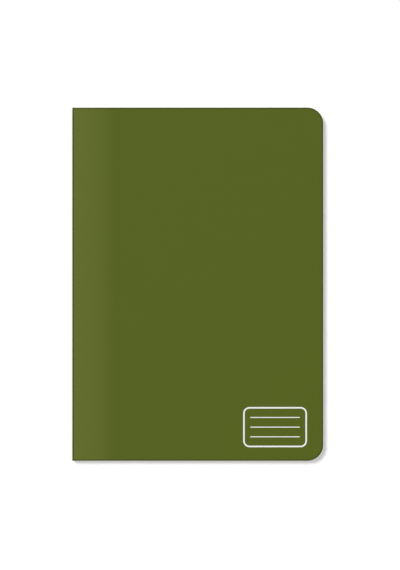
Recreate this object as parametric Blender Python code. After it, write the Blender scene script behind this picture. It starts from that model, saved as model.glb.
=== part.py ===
"""Thin softcover notebook, glue bound, lying closed on its back cover.

Units are metres, with +Z up. The spine runs along Y at the lowest X, the head is at +Y, and the
front cover is on top. The origin is the centre of the underside. Every hinge line is parallel to Y.
"""

import math

import bmesh
import bpy

# Trimmed sheet. Covers and leaves are cut together, so they share one outline.
SHEET_WIDTH = 0.179
SHEET_HEIGHT = 0.252
CORNER_RADIUS = 0.0113
CORNER_STEPS = 16

# Stack
LEAF_COUNT = 40
LEAF_THICKNESS = 0.0001
CARD_THICKNESS = 0.0003
SHEET_GAP = 0.00002

# Binding
GLUE_THICKNESS = 0.0005
BOND_GAP = 0.00005
FOLD_GAP = 0.00004

# Distance from the card's outer face to the line that it folds about.
HINGE_OFFSET = 0.00002

# Edges that turn by more than this look sharp, and the corners' arcs look round.
SHARP_ANGLE = math.radians(40)

# Worked out from the sizes above
LEAF_PITCH = LEAF_THICKNESS + SHEET_GAP
BLOCK_THICKNESS = LEAF_COUNT * LEAF_PITCH + SHEET_GAP
TOTAL_THICKNESS = BLOCK_THICKNESS + 2 * CARD_THICKNESS
FRONT_LEAVES = LEAF_COUNT // 2
FOLD_HEIGHT = TOTAL_THICKNESS - CARD_THICKNESS - SHEET_GAP / 2 - FRONT_LEAVES * LEAF_PITCH

SPINE_X = -SHEET_WIDTH / 2
FORE_EDGE_X = SHEET_WIDTH / 2
GLUE_X = SPINE_X + CARD_THICKNESS + BOND_GAP
LEAF_X = GLUE_X + GLUE_THICKNESS + BOND_GAP
HINGE_X = SPINE_X - HINGE_OFFSET

# Colours are linear red, green and blue.
COVER_COLOUR = (0.095, 0.124, 0.018)
PAPER_COLOUR = (0.83, 0.82, 0.76)
GLUE_COLOUR = (0.80, 0.78, 0.70)


def clear_scene():
    """Remove every object that is already in the scene."""
    for old in list(bpy.data.objects):
        bpy.data.objects.remove(old, do_unlink=True)


def make_material(name, colour, roughness):
    """Return a plain material of one colour."""
    material = bpy.data.materials.new(name)
    material.use_nodes = True
    surface = material.node_tree.nodes["Principled BSDF"]
    surface.inputs["Base Color"].default_value = (*colour, 1.0)
    surface.inputs["Roughness"].default_value = roughness
    surface.inputs["Metallic"].default_value = 0.0
    return material


def sheet_outline(low_x):
    """Return the points of a trimmed sheet, counter-clockwise from its tail corner at low_x.

    The two corners at low_x are square, and the two at the fore-edge are arcs of CORNER_RADIUS.
    """
    half_height = SHEET_HEIGHT / 2
    points = [(low_x, half_height), (low_x, -half_height)]
    arc_x = FORE_EDGE_X - CORNER_RADIUS
    arc_y = half_height - CORNER_RADIUS
    for centre_y, start in ((-arc_y, -math.pi / 2), (arc_y, 0.0)):
        for step in range(CORNER_STEPS + 1):
            angle = start + step / CORNER_STEPS * math.pi / 2
            x = arc_x + CORNER_RADIUS * math.cos(angle)
            y = centre_y + CORNER_RADIUS * math.sin(angle)
            points.append((x, y))
    return points


def strip_outline(low_x, width):
    """Return the points of a strip as long as the sheet is high."""
    half_height = SHEET_HEIGHT / 2
    return [
        (low_x, half_height),
        (low_x, -half_height),
        (low_x + width, -half_height),
        (low_x + width, half_height),
    ]


def plate_mesh(name, outline, thickness):
    """Return a mesh of an outline raised from height 0 to a thickness, with x counted from the hinges."""
    mesh = bpy.data.meshes.new(name)
    shape = bmesh.new()
    corners = [shape.verts.new((x - HINGE_X, y, 0.0)) for x, y in outline]
    base = shape.faces.new(corners)
    raised = bmesh.ops.extrude_face_region(shape, geom=[base])
    top = [part for part in raised["geom"] if isinstance(part, bmesh.types.BMVert)]
    bmesh.ops.translate(shape, verts=top, vec=(0.0, 0.0, thickness))
    bmesh.ops.recalc_face_normals(shape, faces=shape.faces)
    shape.to_mesh(mesh)
    shape.free()
    mesh.shade_smooth()
    mesh.set_sharp_from_angle(angle=SHARP_ANGLE)
    return mesh


def add_hinge(name, height, parent=None):
    """Add an empty on a hinge line at a height above the underside."""
    hinge = bpy.data.objects.new(name, None)
    bpy.context.collection.objects.link(hinge)
    hinge.empty_display_size = SHEET_WIDTH / 10
    if parent is None:
        hinge.location = (HINGE_X, 0.0, height)
    else:
        hinge.parent = parent
        hinge.location = (0.0, 0.0, height - parent.location.z)
    return hinge


def hang(name, mesh, hinge, drop, material):
    """Add one piece whose underside is drop above its hinge line, or below it if drop is negative."""
    piece = bpy.data.objects.new(name, mesh)
    bpy.context.collection.objects.link(piece)
    piece.parent = hinge
    piece.location = (0.0, 0.0, drop)
    if not mesh.materials:
        mesh.materials.append(material)
    return piece


def add_covers(card, front_hinge, back_hinge, front_height, back_height):
    """Add the two cover panels, each hung on the fold at its own corner of the spine."""
    outline = sheet_outline(SPINE_X)
    panel = plate_mesh("cover_panel", outline, CARD_THICKNESS)
    front_face = TOTAL_THICKNESS - CARD_THICKNESS
    hang("cover_front", panel, front_hinge, front_face - front_height, card)
    hang("cover_back", panel.copy(), back_hinge, -back_height, card)


def add_binding(prefix, low_x, width, front_hinge, rear_hinge, low, high, material):
    """Add a strip between two heights as two halves that part at the fold in the spine's middle."""
    outline = strip_outline(low_x, width)
    rear_thickness = FOLD_HEIGHT - FOLD_GAP / 2 - low
    front_thickness = high - FOLD_HEIGHT - FOLD_GAP / 2
    rear = plate_mesh(prefix + "_rear", outline, rear_thickness)
    front = plate_mesh(prefix + "_front", outline, front_thickness)
    hang(prefix + "_rear", rear, rear_hinge, low - FOLD_HEIGHT, material)
    hang(prefix + "_front", front, front_hinge, FOLD_GAP / 2, material)


def add_leaves(paper, front_hinge, leaf_hinge):
    """Add the leaves, numbered from the front cover down, each able to turn about the middle fold."""
    leaf = plate_mesh("leaf", sheet_outline(LEAF_X), LEAF_THICKNESS)
    top = TOTAL_THICKNESS - CARD_THICKNESS - SHEET_GAP
    for number in range(1, LEAF_COUNT + 1):
        underside = top - (number - 1) * LEAF_PITCH - LEAF_THICKNESS
        hinge = front_hinge if number == 1 else leaf_hinge
        hang(f"leaf_{number:02d}", leaf, hinge, underside - FOLD_HEIGHT, paper)


def build():
    """Build the whole notebook."""
    clear_scene()
    card = make_material("cover_card", COVER_COLOUR, 0.6)
    paper = make_material("leaf_paper", PAPER_COLOUR, 0.85)
    glue = make_material("binding_glue", GLUE_COLOUR, 0.5)

    front_corner = TOTAL_THICKNESS + HINGE_OFFSET
    back_corner = -HINGE_OFFSET
    block_axis = add_hinge("block_axis", FOLD_HEIGHT)
    opening_axis = add_hinge("opening_axis", FOLD_HEIGHT)
    front_cover_axis = add_hinge("front_cover_axis", front_corner, opening_axis)
    back_cover_axis = add_hinge("back_cover_axis", back_corner)

    add_covers(card, front_cover_axis, back_cover_axis, front_corner, back_corner)
    spine_low = CARD_THICKNESS + SHEET_GAP
    spine_high = TOTAL_THICKNESS - spine_low
    add_binding(
        "cover_spine", SPINE_X, CARD_THICKNESS, opening_axis, block_axis, spine_low, spine_high, card
    )
    add_binding("glue", GLUE_X, GLUE_THICKNESS, opening_axis, block_axis, spine_low, spine_high, glue)
    add_leaves(paper, opening_axis, block_axis)


build()
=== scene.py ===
"""Finish of a thin softcover notebook: its wrap-around card cover, set glue, ruled leaves and printed field.

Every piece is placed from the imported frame, in metres, with +Z up. The cover is three sheets of one card:
a front panel, a spine and a back panel. Each is worked out as a whole grid and bends where the card folds.
"""

import logging
import math
from collections.abc import Callable
from dataclasses import dataclass
from enum import Enum
from typing import TypeAlias

import bpy
import numpy as np
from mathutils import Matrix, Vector


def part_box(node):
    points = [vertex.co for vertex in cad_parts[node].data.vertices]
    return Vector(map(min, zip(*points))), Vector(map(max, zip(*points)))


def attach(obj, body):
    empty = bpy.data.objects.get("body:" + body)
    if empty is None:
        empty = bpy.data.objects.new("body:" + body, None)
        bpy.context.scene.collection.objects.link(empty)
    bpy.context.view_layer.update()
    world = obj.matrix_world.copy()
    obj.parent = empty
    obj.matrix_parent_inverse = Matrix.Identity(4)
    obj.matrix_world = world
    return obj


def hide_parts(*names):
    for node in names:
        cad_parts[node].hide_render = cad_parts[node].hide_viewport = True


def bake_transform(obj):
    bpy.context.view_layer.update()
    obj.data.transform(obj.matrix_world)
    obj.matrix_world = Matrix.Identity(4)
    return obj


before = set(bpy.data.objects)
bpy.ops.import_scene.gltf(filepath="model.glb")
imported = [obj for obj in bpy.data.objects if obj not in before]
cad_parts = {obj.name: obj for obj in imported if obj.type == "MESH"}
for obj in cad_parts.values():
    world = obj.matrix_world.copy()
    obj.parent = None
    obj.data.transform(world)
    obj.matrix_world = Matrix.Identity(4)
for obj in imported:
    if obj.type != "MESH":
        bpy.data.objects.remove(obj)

LOG = logging.getLogger("notebook")

MM = 0.001
PLACE = "sheet_place"
SHARP_ANGLE = math.radians(35.0)
QUARTER_TURN = math.pi / 2

# Close rows run past a bend, to this many times its own reach.
BEND_MARGIN = 1.2

# How much each finer layer of a noise counts, against the one before it.
NOISE_FALL = 0.55

# The mix node's sockets for colours, by number, because those for plain numbers have the same names.
MIX_FACTOR, MIX_FIRST, MIX_SECOND = 0, 6, 7
MIX_RESULT = 2

# Where the cover's edges lie in the photograph, in pixels.
PHOTO_WIDTH_PX = 400
PHOTO_HEIGHT_PX = 570
COVER_LEFT_PX = 72.24
COVER_RIGHT_PX = 323.12
COVER_TOP_PX = 107.61
COVER_BOTTOM_PX = 460.66

Pair: TypeAlias = tuple[float, float]
Triple: TypeAlias = tuple[float, float, float]
Colour: TypeAlias = tuple[float, float, float, float]
Paint: TypeAlias = "bpy.types.NodeSocket | Colour"
Entry: TypeAlias = "Wire | bpy.types.NodeSocket | Colour | Triple | float"

WHITE: Colour = (1.0, 1.0, 1.0, 1.0)
RISE: Pair = (0.0, 1.0)
FALL: Pair = (1.0, 0.0)


class Side(Enum):
    """Which of the two cover panels a piece is, by the way its outer face points."""

    FRONT = 1.0
    BACK = -1.0


@dataclass(frozen=True)
class Block:
    """Where the frame puts the closed notebook.

    Attributes:
        spine_x: outer face of the spine.
        fore_x: trimmed fore-edge.
        half_height: half of the sheet's height.
        low_z: underside of the back cover.
        high_z: top of the front cover.
        fold_z: height of the fold in the middle of the spine.
        card: thickness of the cover card.
        corner: radius of the two fore-edge corners.
    """

    spine_x: float
    fore_x: float
    half_height: float
    low_z: float
    high_z: float
    fold_z: float
    card: float
    corner: float = 11.3 * MM

    @classmethod
    def from_frame(cls) -> "Block":
        """Read the notebook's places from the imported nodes.

        Returns:
            The closed notebook's block.
        """
        front_low, front_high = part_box("cover_front")
        back_low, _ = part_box("cover_back")
        _, rear_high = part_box("cover_spine_rear")
        spine_low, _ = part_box("cover_spine_front")
        return cls(
            spine_x=front_low.x,
            fore_x=front_high.x,
            half_height=front_high.y,
            low_z=back_low.z,
            high_z=front_high.z,
            fold_z=(rear_high.z + spine_low.z) / 2,
            card=front_high.z - front_low.z,
        )

    @property
    def width(self) -> float:
        """Return the distance from the spine's face to the fore-edge."""
        return self.fore_x - self.spine_x

    @property
    def card_faces(self) -> tuple[Pair, Pair]:
        """Return the inset of the card's outer face and inner face, each with its place through the card."""
        return (0.0, 0.0), (self.card, 1.0)

    def half_height_at(self, x: np.ndarray) -> np.ndarray:
        """Return half of the sheet's height at each x.

        It is the full half height up to the corner's centre, and from there on the corner's circle:
        the straight part plus the square root of the radius squared less the distance squared.

        Args:
            x: places across the sheet.

        Returns:
            The half heights, one for each x.
        """
        past = np.clip(x - (self.fore_x - self.corner), 0.0, self.corner)
        return self.half_height - self.corner + np.sqrt(self.corner**2 - past**2)


def math_method(operation: str, reflected: bool = False) -> Callable[..., "Wire"]:
    """Make a method of Wire that adds one Math node.

    Args:
        operation: what the node works out.
        reflected: whether its values go in the other way round.

    Returns:
        The method, which gives the node's value.
    """

    def method(self: "Wire", *others: "Wire | float") -> "Wire":
        """Add the node and return its value."""
        values = (*others, self) if reflected else (self, *others)
        node = self.graph.add("ShaderNodeMath", {"operation": operation}, dict(enumerate(values)))
        return Wire(self.graph, node.outputs[0])

    return method


class Wire:
    """One number that varies over a surface. Python's operators on it add Math nodes.

    Of two values, least is the smaller and most the larger. The root is the square root, and the part is
    what is left after the whole number below it is taken off.
    """

    __add__ = __radd__ = math_method("ADD")
    __sub__ = math_method("SUBTRACT")
    __rsub__ = math_method("SUBTRACT", reflected=True)
    __mul__ = __rmul__ = math_method("MULTIPLY")
    __truediv__ = math_method("DIVIDE")
    __abs__ = math_method("ABSOLUTE")
    least = math_method("MINIMUM")
    most = math_method("MAXIMUM")
    root = math_method("SQRT")
    part = math_method("FRACT")

    def __init__(self, graph: "Graph", socket: bpy.types.NodeSocket) -> None:
        """Hold a socket and the graph that it is in."""
        self.graph = graph
        self.socket = socket

    def span(self, ends: Pair) -> "Wire":
        """Return the first of two ends where this value is 0, and the second where it is 1."""
        return ends[0] + (ends[1] - ends[0]) * self

    def ease(self, over: Pair, ends: Pair = RISE) -> "Wire":
        """Return a smooth step.

        Args:
            over: where the step starts and where it ends.
            ends: what it gives up to its start and from its end on.

        Returns:
            The step.
        """
        node = self.graph.add(
            "ShaderNodeMapRange",
            {"interpolation_type": "SMOOTHSTEP"},
            {"Value": self, "From Min": over[0], "From Max": over[1], "To Min": ends[0], "To Max": ends[1]},
        )
        return Wire(self.graph, node.outputs[0])


class Graph:
    """A node tree, in which every node is made by one method."""

    def __init__(self, tree: bpy.types.NodeTree) -> None:
        """Hold the tree."""
        self.tree = tree

    def add(self, kind: str, settings: dict[str, str], inputs: dict[int | str, Entry]) -> bpy.types.Node:
        """Add a node of any kind.

        Args:
            kind: the node's type.
            settings: what is set on the node first.
            inputs: what goes into each input, by the input's name or number.

        Returns:
            The new node.
        """
        node = self.tree.nodes.new(kind)
        for key, value in settings.items():
            setattr(node, key, value)
        for key, value in inputs.items():
            self.plug(node.inputs[key], value)
        return node

    def plug(self, target: bpy.types.NodeSocket, value: Entry) -> None:
        """Set an input to a fixed value, or link it.

        Args:
            target: the input.
            value: a number or a colour to set, or a Wire or a socket to link.
        """
        if isinstance(value, Wire):
            self.tree.links.new(value.socket, target)
        elif isinstance(value, bpy.types.NodeSocket):
            self.tree.links.new(value, target)
        else:
            target.default_value = value

    def place(self, kind: str) -> bpy.types.NodeSocket:
        """Return one of Blender's own coordinates by its name."""
        return self.add("ShaderNodeTexCoord", {}, {}).outputs[kind]

    def split(self, vector: bpy.types.NodeSocket) -> tuple[Wire, Wire, Wire]:
        """Return a vector's three parts."""
        x, y, z = self.add("ShaderNodeSeparateXYZ", {}, {"Vector": vector}).outputs
        return Wire(self, x), Wire(self, y), Wire(self, z)

    def stretched(self, place: bpy.types.NodeSocket, scale: Triple) -> bpy.types.NodeSocket:
        """Return a place with each part multiplied by a number."""
        return self.add("ShaderNodeVectorMath", {"operation": "MULTIPLY"}, {0: place, 1: scale}).outputs[0]

    def noise(self, place: bpy.types.NodeSocket, per_metre: float, detail: float = 2.0) -> Wire:
        """Return noise between 0 and 1, about a half on average.

        Args:
            place: where it is read.
            per_metre: how many blotches lie along a metre.
            detail: how many finer layers are added.

        Returns:
            The noise.
        """
        node = self.add(
            "ShaderNodeTexNoise",
            {"noise_dimensions": "3D"},
            {"Vector": place, "Scale": per_metre, "Detail": detail, "Roughness": NOISE_FALL},
        )
        return Wire(self, node.outputs["Fac"])

    def mix(self, factor: Wire, first: Paint, second: Paint) -> bpy.types.NodeSocket:
        """Return the first colour where the factor is 0, and the second where it is 1."""
        inputs = {MIX_FACTOR: factor, MIX_FIRST: first, MIX_SECOND: second}
        return self.add("ShaderNodeMix", {"data_type": "RGBA"}, inputs).outputs[MIX_RESULT]

    def shade(self, colour: bpy.types.NodeSocket, amount: Wire) -> bpy.types.NodeSocket:
        """Return a colour multiplied by a number."""
        node = self.add("ShaderNodeVectorMath", {"operation": "SCALE"}, {0: colour, "Scale": amount})
        return node.outputs[0]


class Shader(Graph):
    """The node tree of one material, around its Principled surface."""

    def __init__(self, name: str, specular: float) -> None:
        """Start a material.

        Args:
            name: the material's name.
            specular: its specular level, which is the same all over.
        """
        self.material = bpy.data.materials.new(name)
        self.material.use_nodes = True
        super().__init__(self.material.node_tree)
        self.surface = self.tree.nodes["Principled BSDF"]
        self.plug(self.surface.inputs["Specular IOR Level"], specular)

    def sheet_place(self) -> bpy.types.NodeSocket:
        """Return the piece's own place along, across and through the sheet."""
        return self.add("ShaderNodeAttribute", {"attribute_name": PLACE}, {}).outputs["Vector"]

    def bump(self, height: Wire, depth: float) -> None:
        """Raise the surface by a height between 0 and 1 times a depth in metres."""
        node = self.add("ShaderNodeBump", {}, {"Strength": 1.0, "Distance": depth, "Height": height})
        self.plug(self.surface.inputs["Normal"], node.outputs["Normal"])

    def paint(self, colour: Paint, roughness: Wire | float) -> bpy.types.Material:
        """Set the surface's colour and roughness.

        Args:
            colour: a colour, or the socket that gives it.
            roughness: one roughness for the whole surface, or what varies it.

        Returns:
            The finished material.
        """
        self.plug(self.surface.inputs["Base Color"], colour)
        self.plug(self.surface.inputs["Roughness"], roughness)
        return self.material


@dataclass(frozen=True)
class PrintedCard:
    """Olive print under a matt varnish, the outside of the cover.

    A painted highlight lightens it along the spine, and painted shade darkens it along the fold.
    It is also a little darker along the trimmed rim.

    Attributes:
        block: the closed notebook's places.
        field: the colour of the whole cover.
        band: the colour of the painted highlight beside the spine.
        band_fade: from where to where the painted highlight fades into the field, from the fold.
        band_slope: from where to where it first weakens.
        band_left: the share of its strength left past that.
        rim: how wide the darkest part of the trimmed rim is, and where its shade ends.
        rim_shade: how much of its light the rim keeps.
        fold_shade: the same for the painted shade along the fold, on a panel.
        fold_shade_level: how much of its light the painted shade along the fold keeps.
        spine_haste: how many times sooner these shades end on the spine than on a panel.
        blotches: soft blotches along a metre.
        blotch_tones: how much light the darkest and the lightest blotches keep.
        blotch_roughness: how rough the glossiest and the dullest blotches are.
        specks: fine specks along a metre.
        speck_tone: how much lighter the specks make it, at most.
        grains: grains of the card's tooth along a metre.
        grain_roughness: how much rougher the grain makes it, at most.
        grain_share: how much of the tooth is grain, and not specks.
        tooth: depth of the grain.
        specular: specular level of the varnish.
    """

    block: Block
    field: Colour = (0.0930, 0.1260, 0.0062, 1.0)
    # Painted highlight beside the spine, a lighter olive than the field.
    band: Colour = (0.1255, 0.1572, 0.0180, 1.0)
    band_fade: Pair = (15.0 * MM, 32.5 * MM)
    band_slope: Pair = (4.0 * MM, 18.0 * MM)
    band_left: float = 0.77
    rim: Pair = (0.40 * MM, 1.45 * MM)
    rim_shade: float = 0.54
    # Painted shade along the fold.
    fold_shade: Pair = (0.85 * MM, 1.30 * MM)
    fold_shade_level: float = 0.72
    spine_haste: float = 2.5
    blotches: float = 55.0
    blotch_tones: Pair = (0.985, 1.005)
    blotch_roughness: Pair = (0.58, 0.64)
    specks: float = 1500.0
    speck_tone: float = 0.012
    grains: float = 5200.0
    grain_roughness: float = 0.05
    grain_share: float = 0.7
    tooth: float = 0.09 * MM
    specular: float = 0.2

    def trim_distance(self, along: Wire, across: Wire) -> Wire:
        """Return how far a place lies inside the trimmed outline.

        In the corner's square that is the radius less the distance from the corner's centre. Elsewhere
        it is the least distance to the fore-edge, the head or the tail.

        Args:
            along: distance from the fold towards the fore-edge, and less than 0 on the spine.
            across: distance from the middle, towards the head.

        Returns:
            The distance.
        """
        past_x = along - (self.block.width - self.block.corner)
        past_y = abs(across) - (self.block.half_height - self.block.corner)
        in_x = past_x.most(0.0)
        in_y = past_y.most(0.0)
        outside = (in_x * in_x + in_y * in_y).root()
        inside = past_x.most(past_y).least(0.0)
        return self.block.corner - outside - inside

    def material(self) -> bpy.types.Material:
        """Make the printed card.

        Returns:
            Its material.
        """
        shader = Shader("printed_card", self.specular)
        place = shader.sheet_place()
        along, across, _ = shader.split(place)
        # The olive print, with a painted highlight that lightens it towards the spine.
        plateau = along.ease(self.band_fade, FALL)
        slope = along.ease(self.band_slope, (1.0, self.band_left))
        printed = shader.mix(plateau * slope, self.field, self.band)

        # On the spine the place along the sheet is less than 0, so the larger of the two is the distance.
        fold = along.most(along * -self.spine_haste)
        edge = self.trim_distance(along, across).least(fold)
        rim = edge.ease(self.rim, (self.rim_shade, 1.0))
        # Painted shade along the fold.
        fold_shade = fold.ease(self.fold_shade, (self.fold_shade_level, 1.0))

        blotch = shader.noise(place, self.blotches, detail=3.0)
        speck = shader.noise(place, self.specks)
        grain = shader.noise(place, self.grains, detail=3.0)
        shader.bump(self.grain_share * grain + (1 - self.grain_share) * speck, self.tooth)
        tone = blotch.span(self.blotch_tones) + self.speck_tone * speck
        roughness = blotch.span(self.blotch_roughness) + self.grain_roughness * grain
        return shader.paint(shader.shade(printed, rim * fold_shade * tone), roughness)


@dataclass(frozen=True)
class PlainBoard:
    """Uncoated white board, the inside of the cover.

    Attributes:
        colour: the board's colour.
        fibre: the colour of its darker fibres.
        fibres: fibres along a metre.
        fibre_stretch: how they are drawn out, where less than 1 is longer.
        fibre_noise: noise at which a fibre starts to show, and shows in full.
        fibre_strength: how much of the board's colour a fibre takes.
        clouds: soft clouds along a metre.
        cloud_strength: how much of the board's colour a cloud takes.
        tooth: depth of the fibres.
        roughness: how rough it is.
        specular: its specular level.
    """

    colour: Colour = (0.80, 0.79, 0.74, 1.0)
    fibre: Colour = (0.66, 0.64, 0.58, 1.0)
    fibres: float = 2600.0
    fibre_stretch: Triple = (1.0, 0.28, 1.0)
    fibre_noise: Pair = (0.55, 0.85)
    fibre_strength: float = 0.5
    clouds: float = 90.0
    cloud_strength: float = 0.12
    tooth: float = 0.012 * MM
    roughness: float = 0.86
    specular: float = 0.3

    def material(self) -> bpy.types.Material:
        """Make the inside board.

        Returns:
            Its material.
        """
        shader = Shader("plain_board", self.specular)
        place = shader.sheet_place()
        lying = shader.noise(shader.stretched(place, self.fibre_stretch), self.fibres, detail=4.0)
        cloud = shader.noise(place, self.clouds)
        shader.bump(lying, self.tooth)
        fibre = self.fibre_strength * lying.ease(self.fibre_noise)
        colour = shader.mix(fibre + self.cloud_strength * cloud, self.colour, self.fibre)
        return shader.paint(colour, self.roughness)


@dataclass(frozen=True)
class CutBoard:
    """The cut edge of the card: a pale pressed core under a thin olive skin.

    Attributes:
        core: the core's colour.
        skin: the print's colour where it is cut through.
        skin_depth: how deep the whole skin goes and where the core starts, as shares of the thickness.
        skin_waver: how far that depth wavers, as a share of the thickness.
        plies: pressed layers along a metre, before they are squeezed.
        ply_squeeze: how much closer the layers lie through the card than along its edge.
        ply_tones: how much light the darkest and the lightest layers keep.
        tooth: depth of the layers.
        roughness: how rough it is.
        specular: its specular level.
    """

    core: Colour = (0.62, 0.60, 0.52, 1.0)
    skin: Colour = (0.085, 0.110, 0.016, 1.0)
    skin_depth: Pair = (0.10, 0.22)
    skin_waver: float = 0.10
    plies: float = 700.0
    ply_squeeze: Triple = (1.0, 1.0, 40.0)
    ply_tones: Pair = (0.9, 1.1)
    tooth: float = 0.02 * MM
    roughness: float = 0.9
    specular: float = 0.25

    def material(self) -> bpy.types.Material:
        """Make the cut edge.

        Returns:
            Its material.
        """
        shader = Shader("cut_board", self.specular)
        place = shader.sheet_place()
        _, _, through = shader.split(place)
        ply = shader.noise(shader.stretched(place, self.ply_squeeze), self.plies, detail=3.0)
        depth = through + self.skin_waver * (ply - 0.5)
        colour = shader.mix(depth.ease(self.skin_depth), self.skin, self.core)
        shader.bump(ply, self.tooth)
        return shader.paint(shader.shade(colour, ply.span(self.ply_tones)), self.roughness)


@dataclass(frozen=True)
class RuledPaper:
    """Uncoated writing paper, ruled on both faces in pale grey-blue.

    Attributes:
        block: the closed notebook's places.
        sheet: the paper's colour.
        edge: the colour of its cut edges.
        page_turn: how far up a face looks where it is still a cut edge, and where it is a page.
        ink: the ruling's colour.
        ink_strength: how much of the paper the ink covers.
        pitch: distance from one rule to the next.
        line: how wide a rule is where its ink is full. It fades over as much on each side.
        head_margin: from the trimmed head to the first rule.
        tail_margin: from the trimmed tail to the last rule, at least.
        side_margin: from the trimmed fore-edge to where the rules stop.
        clouds: soft clouds along a metre.
        cloud_tones: how much light the darkest and the lightest clouds keep.
        fibres: fibres along a metre.
        fibre_tone: how much lighter the fibres make it, at most.
        layers: layers along a metre of a cut edge, before they are squeezed.
        layer_squeeze: how much closer the layers lie through the sheet than along its edge.
        layer_tones: how much light the darkest and the lightest layers keep.
        name: the material's name.
        tooth: depth of the fibres, or 0 to leave the paper flat.
        roughness: how rough it is.
        specular: its specular level.
    """

    block: Block
    sheet: Colour = (0.83, 0.82, 0.76, 1.0)
    edge: Colour = (0.80, 0.78, 0.71, 1.0)
    page_turn: Pair = (0.5, 0.8)
    ink: Colour = (0.34, 0.44, 0.55, 1.0)
    ink_strength: float = 0.5
    pitch: float = 7.0 * MM
    line: float = 0.25 * MM
    head_margin: float = 28.0 * MM
    tail_margin: float = 14.0 * MM
    side_margin: float = 6.0 * MM
    clouds: float = 160.0
    cloud_tones: Pair = (0.97, 1.0)
    fibres: float = 3200.0
    fibre_tone: float = 0.02
    layers: float = 140.0
    layer_squeeze: Triple = (0.4, 0.4, 60.0)
    layer_tones: Pair = (0.80, 1.05)
    name: str = "ruled_paper"
    tooth: float = 0.008 * MM
    roughness: float = 0.9
    specular: float = 0.25

    def ruling(self, x: Wire, y: Wire) -> Wire:
        """Return 1 on a rule and 0 between rules.

        A place lies on a rule where its distance from the first rule, in pitches, is near a whole number.
        The first rule fades over twice as much, and no rule reaches the fore-edge.

        Args:
            x: place across the page.
            y: place up the page.

        Returns:
            The ruling.
        """
        line = self.line
        first = self.block.half_height - self.head_margin
        space = 2 * self.block.half_height - self.head_margin - self.tail_margin
        last = first - math.floor(space / self.pitch) * self.pitch
        off = abs(((first - y) / self.pitch + 0.5).part() - 0.5) * self.pitch
        rules = off.ease((0.5 * line, 1.5 * line), FALL)
        above_last = y.ease((last - 2 * line, last - line))
        below_first = y.ease((first + line, first + 2 * line), FALL)
        heading = abs(y - first).ease((0.5 * line, 2.5 * line), FALL)
        end = self.block.fore_x - self.side_margin
        side = x.ease((end - line, end), FALL)
        return (rules * above_last * below_first).most(heading) * side

    def material(self) -> bpy.types.Material:
        """Make the ruled paper, whose cut edges show the leaf's layers and no rules.

        Returns:
            Its material.
        """
        shader = Shader(self.name, self.specular)
        place = shader.place("Object")
        x, y, _ = shader.split(place)
        _, _, up = shader.split(shader.place("Normal"))
        page = abs(up).ease(self.page_turn)
        cloud = shader.noise(place, self.clouds, detail=3.0)
        fibre = shader.noise(place, self.fibres, detail=3.0)
        layer = shader.noise(shader.stretched(place, self.layer_squeeze), self.layers, detail=1.0)
        edge_tone = layer.span(self.layer_tones)
        page_tone = cloud.span(self.cloud_tones) + self.fibre_tone * fibre
        tone = page_tone * (edge_tone + page * (1.0 - edge_tone))
        paper = shader.shade(shader.mix(page, self.edge, self.sheet), tone)
        if self.tooth:
            shader.bump(fibre, self.tooth)
        ruled = shader.mix(self.ruling(x, y) * page * self.ink_strength, paper, self.ink)
        return shader.paint(ruled, self.roughness)


@dataclass(frozen=True)
class SetGlue:
    """Hot-melt glue that has set pale and a little glossy.

    Attributes:
        colour: the glue's colour.
        dull: its colour in the ripples.
        ripples: ripples along a metre, before they are drawn out.
        ripple_stretch: how they are drawn out, where less than 1 is longer.
        ripple_roughness: how rough the glossiest and the dullest ripples are.
        tooth: depth of the ripples.
        specular: its specular level.
    """

    colour: Colour = (0.78, 0.74, 0.62, 1.0)
    dull: Colour = (0.66, 0.60, 0.46, 1.0)
    ripples: float = 900.0
    ripple_stretch: Triple = (1.0, 0.25, 1.0)
    ripple_roughness: Pair = (0.34, 0.54)
    tooth: float = 0.03 * MM
    specular: float = 0.4

    def material(self) -> bpy.types.Material:
        """Make the glue.

        Returns:
            Its material.
        """
        shader = Shader("set_glue", self.specular)
        drawn = shader.stretched(shader.sheet_place(), self.ripple_stretch)
        ripple = shader.noise(drawn, self.ripples, detail=3.0)
        shader.bump(ripple, self.tooth)
        return shader.paint(shader.mix(ripple, self.colour, self.dull), ripple.span(self.ripple_roughness))


@dataclass(frozen=True)
class WhiteInk:
    """Opaque white ink, printed over the olive.

    Attributes:
        colour: the ink's colour.
        thin: its colour where it is thin.
        pores: thin spots along a metre.
        pore_noise: noise at which the ink starts to thin, and at which it is thinnest.
        pore_strength: how much of the ink's colour a thin spot takes.
        pore_roughness: how rough the ink is in full and at its thinnest.
        tooth: depth of the thin spots.
        specular: its specular level.
    """

    colour: Colour = (0.95, 0.95, 0.93, 1.0)
    thin: Colour = (0.80, 0.82, 0.74, 1.0)
    pores: float = 4200.0
    pore_noise: Pair = (0.62, 0.8)
    pore_strength: float = 0.5
    pore_roughness: Pair = (0.45, 0.55)
    tooth: float = 0.006 * MM
    specular: float = 0.3

    def material(self) -> bpy.types.Material:
        """Make the ink.

        Returns:
            Its material.
        """
        shader = Shader("white_ink", self.specular)
        pore = shader.noise(shader.sheet_place(), self.pores)
        shader.bump(pore, self.tooth)
        thinned = self.pore_strength * pore.ease(self.pore_noise)
        return shader.paint(shader.mix(thinned, self.colour, self.thin), pore.span(self.pore_roughness))


def grid_of(x: np.ndarray | float, y: np.ndarray, z: np.ndarray | float) -> np.ndarray:
    """Return one grid of points from their x, y and z, which may be grids, single rows or one number."""
    return np.stack(np.broadcast_arrays(x, y, z), axis=2)


def bend_rows(middle: float, reach: float, steps: int) -> np.ndarray:
    """Return close rows where a strip bends, even and a little past both ends of the bend."""
    return np.linspace(middle - BEND_MARGIN * reach, middle + BEND_MARGIN * reach, steps)


def add_object(name: str, data: bpy.types.ID) -> bpy.types.Object:
    """Add a new object to the scene, at the origin, and return it."""
    thing = bpy.data.objects.new(name, data)
    bpy.context.scene.collection.objects.link(thing)
    return thing


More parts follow.
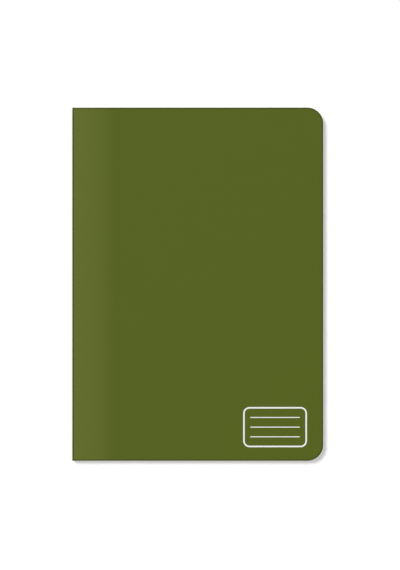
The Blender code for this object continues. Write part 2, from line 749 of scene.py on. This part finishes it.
def quads_of(index: np.ndarray) -> np.ndarray:
    """Return the four corners of each cell of a grid of point numbers, one row for each cell."""
    corners = (index[:-1, :-1], index[1:, :-1], index[1:, 1:], index[:-1, 1:])
    return np.stack([corner.ravel() for corner in corners], axis=1)


def wall_of(run: np.ndarray, step: int) -> np.ndarray:
    """Return the cells between a run of point numbers and the same run a step further on."""
    return np.stack([run[:-1], run[1:], run[1:] + step, run[:-1] + step], axis=1)


def enclosed(points: np.ndarray, faces: np.ndarray) -> float:
    """Return the volume that four-sided faces enclose, below 0 where they point inwards.

    Each face is two triangles, and each triangle adds a sixth of its three corners' triple product.

    Args:
        points: the points, one row for each.
        faces: the faces' corners, one row for each.

    Returns:
        The volume.
    """
    first, second, third, fourth = (points[faces[:, corner]] for corner in range(4))
    return float((first * np.cross(second, third) + first * np.cross(third, fourth)).sum()) / 6


def shell(
    name: str, grids: list[np.ndarray], places: list[np.ndarray], ring: bool = False
) -> bpy.types.Object:
    """Make one closed piece from two grids of points and the wall that joins their rims.

    The outer faces get material number 0, the inner faces 1 and the wall 2. A ring's last row runs on
    into its first, so its wall has two parts, one along each side. The faces are turned round together
    if they enclose less than nothing.

    Args:
        name: the piece's name.
        grids: points of the outer face and of the inner face, each rows by columns by three.
        places: the same points' own places along, across and through the sheet.
        ring: whether the rows close on themselves.

    Returns:
        The piece, at the origin.
    """
    rows, columns = grids[0].shape[:2]
    count = rows * columns
    top = np.arange(count).reshape(rows, columns)
    if ring:
        top = np.concatenate([top, top[:1]])
        runs = [top[:, -1], top[::-1, 0]]
    else:
        runs = [np.concatenate([top[0], top[1:, -1], top[-1, -2::-1], top[-2::-1, 0]])]
    wall = np.concatenate([wall_of(run, count) for run in runs])
    cells = quads_of(top)
    faces = np.concatenate([cells, cells[:, ::-1] + count, wall])
    points = np.concatenate([grid.reshape(-1, 3) for grid in grids])
    if enclosed(points, faces) < 0:
        faces = faces[:, ::-1]

    mesh = bpy.data.meshes.new(name)
    mesh.from_pydata(points.tolist(), [], faces.tolist())
    numbers = np.repeat([0, 1, 2], [len(cells), len(cells), len(wall)]).astype(np.int32)
    mesh.polygons.foreach_set("material_index", numbers)
    own = mesh.attributes.new(PLACE, "FLOAT_VECTOR", "POINT")
    values = np.concatenate([grid.reshape(-1, 3) for grid in places]).astype(np.float32)
    own.data.foreach_set("vector", values.ravel())
    mesh.shade_smooth()
    mesh.set_sharp_from_angle(angle=SHARP_ANGLE)
    mesh.update()
    return add_object(name, mesh)


def dress(piece: bpy.types.Object, slot: str, *finishes: bpy.types.Material) -> None:
    """Give a new piece its finishes in the order of their numbers, and report it.

    Args:
        piece: the piece.
        slot: a material slot's name; not used.
        finishes: one finish for the whole piece, or three for its outer face, inner face and wall.
    """
    for number in range(3):
        piece.data.materials.append(finishes[number % len(finishes)])
    count = sum(len(face.vertices) - 2 for face in piece.data.polygons)
    LOG.info("%s: %d triangles", piece.name, count)


@dataclass
class WrapCover:
    """The card cover: two panels and a spine, cut from one sheet and folded at three lines.

    Attributes:
        block: the closed notebook's places.
        outside: finish of the printed outside.
        inside: finish of the plain inside.
        edge: finish of the cut edge.
        fold_radius: outer radius of the fold between a panel and the spine.
        turn_end: how far from the spine's face a panel has made its whole turn.
        near_end: how far from the spine's face the close columns end.
        bend_reach: how far above and below the middle the spine bends.
        curl: how far the front panel's fore-edge stands up.
        curl_start: how far from the spine that rise starts.
        fold_steps: steps round a quarter fold.
        near_steps: close columns beside the fold.
        flat_steps: columns across the flat of a panel.
        corner_steps: columns round the fore-edge corners.
        bend_steps: close rows where the spine bends.
        end_steps: rows on each side of that bend.
        rows: points from the tail to the head.
    """

    block: Block
    outside: bpy.types.Material
    inside: bpy.types.Material
    edge: bpy.types.Material
    fold_radius: float = 0.6 * MM
    turn_end: float = 0.7 * MM
    near_end: float = 2.2 * MM
    bend_reach: float = 0.45 * MM
    curl: float = 0.35 * MM
    curl_start: float = 24.0 * MM
    fold_steps: int = 16
    near_steps: int = 10
    flat_steps: int = 46
    corner_steps: int = 26
    bend_steps: int = 25
    end_steps: int = 5
    rows: int = 65

    def rise(self, x: np.ndarray) -> np.ndarray:
        """Return how far the front panel stands up: the curl times the square of the way across."""
        start = self.block.spine_x + self.curl_start
        return self.curl * np.clip((x - start) / (self.block.fore_x - start), 0.0, 1.0) ** 2

    def columns(self) -> np.ndarray:
        """Work out the columns of a panel's flat part, close together at the fold and round the corners.

        Returns:
            Their places across the panel.
        """
        spine = self.block.spine_x
        corner_x = self.block.fore_x - self.block.corner
        near = np.linspace(spine + self.fold_radius, spine + self.near_end, self.near_steps)
        flat = np.linspace(spine + self.near_end, corner_x, self.flat_steps)
        turn = np.linspace(0.0, QUARTER_TURN, self.corner_steps)
        return np.concatenate([near, flat[1:], corner_x + self.block.corner * np.sin(turn[1:])])

    def panel(self, name: str, side: Side) -> bpy.types.Object:
        """Make a cover panel with the quarter fold that joins it to the spine.

        The section starts at the spine and runs round a quarter circle, whose outer radius is the fold
        radius and whose inner radius is that less the card. Then it runs flat to the fore-edge. Each
        column is as long as the trimmed outline is there.

        Args:
            name: the panel's name.
            side: which panel.

        Returns:
            The panel.
        """
        block = self.block
        turn = np.linspace(math.pi, QUARTER_TURN, self.fold_steps + 1)[:-1]
        flat_x = self.columns()
        level = block.high_z if side is Side.FRONT else block.low_z
        rise = self.rise(flat_x) if side is Side.FRONT else np.zeros_like(flat_x)
        along = np.concatenate([self.fold_radius * (1 + QUARTER_TURN - turn), flat_x - block.spine_x])
        share = np.linspace(-1.0, 1.0, self.rows)
        grids = []
        places = []
        for inset, depth in block.card_faces:
            radius = self.fold_radius - inset
            x = np.concatenate([block.spine_x + self.fold_radius + radius * np.cos(turn), flat_x])
            below = np.concatenate([self.fold_radius - radius * np.sin(turn), inset - rise])
            z = level - side.value * below
            across = np.outer(block.half_height_at(x), share)
            grids.append(grid_of(x[:, None], across, z[:, None]))
            places.append(grid_of(along[:, None], across, depth))
        return shell(name, grids, places)

    def spine(self) -> bpy.types.Object:
        """Make the flat strip of the spine, with close rows where it bends in the middle.

        Its own place along the card runs on from the panels' folds: what the fold's quarter turn used up,
        less the distance to the nearer fold.

        Returns:
            The spine.
        """
        block = self.block
        low = block.low_z + self.fold_radius
        high = block.high_z - self.fold_radius
        bend = bend_rows(block.fold_z, self.bend_reach, self.bend_steps)
        below = np.linspace(low, bend[0], self.end_steps)[:-1]
        above = np.linspace(bend[-1], high, self.end_steps)[1:]
        across = np.linspace(-block.half_height, block.half_height, self.rows)
        z, y = np.meshgrid(np.concatenate([below, bend, above]), across, indexing="ij")
        along = self.fold_radius * (1 - QUARTER_TURN) - np.minimum(z - low, high - z)
        grids = [grid_of(block.spine_x + inset, y, z) for inset, _ in block.card_faces]
        places = [grid_of(along, y, depth) for _, depth in block.card_faces]
        return shell("spine_sheet", grids, places)

    def build(self) -> None:
        """Make the three sheets and dress them, in place of the frame's cover parts."""
        front = self.panel("front_cover_sheet", Side.FRONT)
        spine = self.spine()
        back = self.panel("back_cover_sheet", Side.BACK)
        for piece in (front, spine, back):
            dress(piece, "cover_card", self.outside, self.inside, self.edge)
        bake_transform(front)
        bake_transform(back)
        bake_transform(spine)
        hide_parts("cover_front")
        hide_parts("cover_back")
        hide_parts("cover_spine_front", "cover_spine_rear")


@dataclass
class GlueLine:
    """The set glue between the spine and the leaves, rounded where it fills the cover's folds.

    Attributes:
        cover: the cover that it fills.
        finish: the glue's material.
        bend_reach: how far above and below the middle it bends.
        ripple: how far it swells towards the leaves.
        long_wave: the swelling's slow wave along the spine, in metres for each radian.
        short_wave: its quick wave along the spine.
        high_wave: its wave across the spine.
        round_steps: rows round each fold.
        bend_steps: close rows where it bends.
        rows: points from the tail to the head.
    """

    cover: WrapCover
    finish: bpy.types.Material
    bend_reach: float = 0.5 * MM
    ripple: float = 0.03 * MM
    long_wave: float = 2.3 * MM
    short_wave: float = 0.9 * MM
    high_wave: float = 0.4 * MM
    round_steps: int = 8
    bend_steps: int = 21
    rows: int = 127

    def build(self) -> None:
        """Make the glue, rounded at its folds and rippled towards the leaves.

        Its spine side lies flat between the folds. Past a fold's centre it follows a circle that is
        smaller than the fold by the card and the gap: the fold's centre less the square root of that
        radius squared less the height past the centre squared. Its leaf side swells by two sines along
        the spine.
        """
        block = self.cover.block
        rear_low, rear_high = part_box("glue_rear")
        _, front_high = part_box("glue_front")
        centre_x = block.spine_x + self.cover.fold_radius
        radius = centre_x - rear_low.x
        fold_low = block.low_z + self.cover.fold_radius
        fold_high = block.high_z - self.cover.fold_radius
        bend = bend_rows(block.fold_z, self.bend_reach, self.bend_steps)
        rounds = radius * np.sin(np.linspace(0.0, QUARTER_TURN, self.round_steps))
        lower = [[rear_low.z], fold_low - rounds[::-1]]
        upper = [fold_high + rounds, [front_high.z]]
        heights = np.concatenate([*lower, bend, *upper])
        across = np.linspace(rear_low.y, rear_high.y, self.rows)
        z, y = np.meshgrid(heights, across, indexing="ij")
        past = np.clip(np.maximum(fold_low - z, z - fold_high), 0.0, radius)
        spine_face = centre_x - np.sqrt(radius**2 - past**2)
        wave = (np.sin(y / self.long_wave) + np.sin(y / self.short_wave + z / self.high_wave)) / 2
        leaf_face = rear_high.x - self.ripple * (1 - wave)
        grids = [grid_of(x, y, z) for x in (spine_face, leaf_face)]
        piece = shell("glue_line", grids, grids)
        dress(piece, "binding_glue", self.finish)
        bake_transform(piece)
        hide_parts("glue_rear", "glue_front")


@dataclass
class NameField:
    """A plain field to write a name in: a rounded border with rules, in white at the lower right.

    Attributes:
        cover: the cover that it is printed on.
        finish: the ink's material.
        left: from the spine to the border.
        right: from the spine to the border's far side.
        low: from the tail to the border.
        high: from the tail to the border's far side.
        radius: of the border's corners.
        line: how wide the border's line is.
        rule_count: how many rules share the border's height.
        rule_inset: from the border to a rule's end.
        rule_line: how wide a rule is.
        rule_end: the turn at which a rule's round end is cut off, in radians.
        lift: from the card to the film of ink.
        film: the film's thickness.
        corner_points: points round a corner or a rule's end.
        run_points: points along a straight run.
    """

    cover: WrapCover
    finish: bpy.types.Material
    left: float = 122.5 * MM
    right: float = 166.9 * MM
    low: float = 10.2 * MM
    high: float = 37.8 * MM
    radius: float = 4.0 * MM
    line: float = 1.1 * MM
    rule_count: int = 3
    rule_inset: float = 4.5 * MM
    rule_line: float = 0.65 * MM
    rule_end: float = math.radians(15.0)
    lift: float = 0.004 * MM
    film: float = 0.012 * MM
    corner_points: int = 13
    run_points: int = 10

    def ribbon(self, name: str, path: np.ndarray, half_width: np.ndarray, ring: bool) -> bpy.types.Object:
        """Make a film of ink along a path.

        Each point of the path is moved to both sides, square to the way from the point before it to the
        point after it, by half of the width. The film then lies just above the card.

        Args:
            name: the piece's name.
            path: points from the spine and the tail, one row for each.
            half_width: half of the line's width at each point.
            ring: whether the path closes on itself.

        Returns:
            The film.
        """
        block = self.cover.block
        ahead = np.roll(path, -1, axis=0) - np.roll(path, 1, axis=0) if ring else np.gradient(path, axis=0)
        ahead = ahead / np.linalg.norm(ahead, axis=1, keepdims=True)
        aside = np.stack([-ahead[:, 1], ahead[:, 0]], axis=1) * half_width[:, None]
        flat = np.stack([path - aside, path, path + aside], axis=1)
        x = block.spine_x + flat[:, :, 0]
        y = flat[:, :, 1] - block.half_height
        level = block.high_z + self.cover.rise(x) + self.lift
        grids = [grid_of(x, y, level + thick) for thick in (self.film, 0.0)]
        return shell(name, grids, grids, ring)

    def border(self) -> bpy.types.Object:
        """Make the border: four quarter circles about the corners' centres, joined by straight runs.

        Returns:
            The border.
        """
        turn = np.linspace(0.0, QUARTER_TURN, self.corner_points)
        near_x, far_x = self.left + self.radius, self.right - self.radius
        near_y, far_y = self.low + self.radius, self.high - self.radius
        centres = np.array([(far_x, far_y), (near_x, far_y), (near_x, near_y), (far_x, near_y)])
        arcs = []
        for quarter, centre in enumerate(centres):
            angle = turn + quarter * QUARTER_TURN
            arcs.append(centre + self.radius * np.stack([np.cos(angle), np.sin(angle)], axis=1))
        parts = []
        for arc, after in zip(arcs, arcs[1:] + arcs[:1]):
            parts += [arc, np.linspace(arc[-1], after[0], self.run_points)[1:-1]]
        path = np.concatenate(parts)
        return self.ribbon("name_field_frame", path, np.full(len(path), self.line / 2), ring=True)

    def rule(self, number: int, height: float) -> bpy.types.Object:
        """Make a rule with round ends: past each end's centre, half its width is the line's circle.

        Args:
            number: the rule's number from the top.
            height: from the tail to the rule.

        Returns:
            The rule.
        """
        half = self.rule_line / 2
        turn = np.linspace(self.rule_end, QUARTER_TURN, self.corner_points)
        first = self.left + self.rule_inset + half * (1 - np.cos(turn))
        last = self.left + self.right - first[::-1]
        x = np.concatenate([first, np.linspace(first[-1], last[0], self.run_points)[1:-1], last])
        ends = half * np.sin(turn)
        half_width = np.concatenate([ends, np.full(self.run_points - 2, half), ends[::-1]])
        path = np.stack([x, np.full_like(x, height)], axis=1)
        return self.ribbon(f"name_field_rule_{number}", path, half_width, ring=False)

    def build(self) -> None:
        """Print the border and its rules."""
        heights = np.linspace(self.high, self.low, self.rule_count + 2)[1:-1]
        rules = [self.rule(number, height) for number, height in enumerate(heights, start=1)]
        for piece in (self.border(), *rules):
            dress(piece, "cover_card", self.finish)
            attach(piece, "front_cover")


@dataclass
class Leaves:
    """The ruled leaves, which keep the frame's own solids.

    Attributes:
        open_finish: the open leaves' paper.
        inner_finish: the paper of the leaves between them.
        open_leaves: the leaves whose faces can come to light: the outer two, and the two at the centre.
    """

    open_finish: bpy.types.Material
    inner_finish: bpy.types.Material
    open_leaves: tuple[str, ...] = ("leaf_01", "leaf_20", "leaf_21", "leaf_40")

    def build(self) -> None:
        """Dress every leaf."""
        leaves = [name for name in sorted(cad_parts) if name.startswith("leaf_")]
        for name in leaves:
            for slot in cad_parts[name].material_slots:
                slot.material = self.open_finish if name in self.open_leaves else self.inner_finish
        LOG.info("leaves: %d of ruled paper", len(leaves))


@dataclass
class Studio:
    """The pale floor, the soft light and the camera.

    Attributes:
        block: the closed notebook's places.
        floor_drop: how far the floor lies below the notebook, clear of a cover that is folded under.
        floor_size: the floor's side.
        floor_clouds: soft clouds along a metre of it.
        floor_tones: its darkest and lightest grey.
        floor_glow: how much light it gives.
        floor_roughness: how rough it is.
        floor_specular: its specular level.
        lens: the camera's focal length in millimetres.
        key_way: the way the key light travels, along X, Y and Z.
        key_angle: how wide it looks, in degrees.
        key_strength: how strong it is.
        room_light: how bright the room's walls and its ceiling are.
        room_turn: where the walls start to fade and where the ceiling starts, as shares of the way up.
    """

    block: Block
    floor_drop: float = 0.4 * MM
    floor_size: float = 6.0
    floor_clouds: float = 6.0
    floor_tones: Pair = (0.84, 0.88)
    floor_glow: float = 0.27
    floor_roughness: float = 0.9
    floor_specular: float = 0.1
    lens: float = 150.0
    key_way: Triple = (2.75, -2.50, -5.8)
    key_angle: float = 21.0
    key_strength: float = 2.20
    room_light: Pair = (1.0, 0.2)
    room_turn: Pair = (0.2, 0.55)

    def floor(self) -> None:
        """Lay a plain white floor that glows a little."""
        half = self.floor_size / 2
        level = self.block.low_z - self.floor_drop
        corners = [(-half, -half, level), (half, -half, level), (half, half, level), (-half, half, level)]
        mesh = bpy.data.meshes.new("floor")
        mesh.from_pydata(corners, [], [(0, 1, 2, 3)])
        shader = Shader("floor_paper", self.floor_specular)
        cloud = shader.noise(shader.place("Object"), self.floor_clouds)
        dark, light = ((grey, grey, grey, 1.0) for grey in self.floor_tones)
        shader.plug(shader.surface.inputs["Emission Color"], WHITE)
        shader.plug(shader.surface.inputs["Emission Strength"], self.floor_glow)
        mesh.materials.append(shader.paint(shader.mix(cloud, dark, light), self.floor_roughness))
        add_object("floor", mesh)

    def key(self) -> None:
        """Hang one broad key light at the upper left."""
        sun = bpy.data.lights.new("key_light", "SUN")
        sun.energy = self.key_strength
        sun.angle = math.radians(self.key_angle)
        key = add_object("key_light", sun)
        key.rotation_mode = "QUATERNION"
        key.rotation_quaternion = Vector(self.key_way).to_track_quat("-Z", "Y")

    def room(self) -> None:
        """Put a room with bright walls and a dim ceiling all round."""
        world = bpy.data.worlds.new("studio")
        world.use_nodes = True
        room = Graph(world.node_tree)
        background = room.tree.nodes["Background"]
        _, _, up = room.split(room.place("Generated"))
        room.plug(background.inputs["Strength"], up.ease(self.room_turn, self.room_light))
        room.plug(background.inputs["Color"], WHITE)
        bpy.context.scene.world = world

    def camera(self) -> None:
        """Look straight down, so that the cover's edges fall on their places in the photograph.

        The sensor's width spans the longer side of the frame, which is its height.
        """
        scale = self.block.width / (COVER_RIGHT_PX - COVER_LEFT_PX)
        across = (PHOTO_WIDTH_PX - COVER_LEFT_PX - COVER_RIGHT_PX) / 2 * scale
        down = (PHOTO_HEIGHT_PX - COVER_TOP_PX - COVER_BOTTOM_PX) / 2 * scale
        data = bpy.data.cameras.new("camera")
        data.lens = self.lens
        distance = PHOTO_HEIGHT_PX * scale * data.lens / data.sensor_width
        camera = add_object("camera", data)
        camera.location = (across, -down, self.block.high_z + distance)
        bpy.context.scene.camera = camera

    def build(self) -> None:
        """Set up the studio."""
        self.floor()
        self.key()
        self.room()
        self.camera()
        bpy.context.scene.view_settings.view_transform = "Standard"


def main() -> None:
    """Build and dress every piece, then set up the studio."""
    logging.basicConfig(level=logging.INFO, format="%(message)s")
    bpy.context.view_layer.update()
    block = Block.from_frame()
    cover = WrapCover(block, PrintedCard(block).material(), PlainBoard().material(), CutBoard().material())
    cover.build()
    GlueLine(cover, SetGlue().material()).build()
    NameField(cover, WhiteInk().material()).build()
    inner_paper = RuledPaper(block, name="inner_paper", tooth=0.0)
    Leaves(RuledPaper(block).material(), inner_paper.material()).build()
    Studio(block).build()


if __name__ == "__main__":
    main()
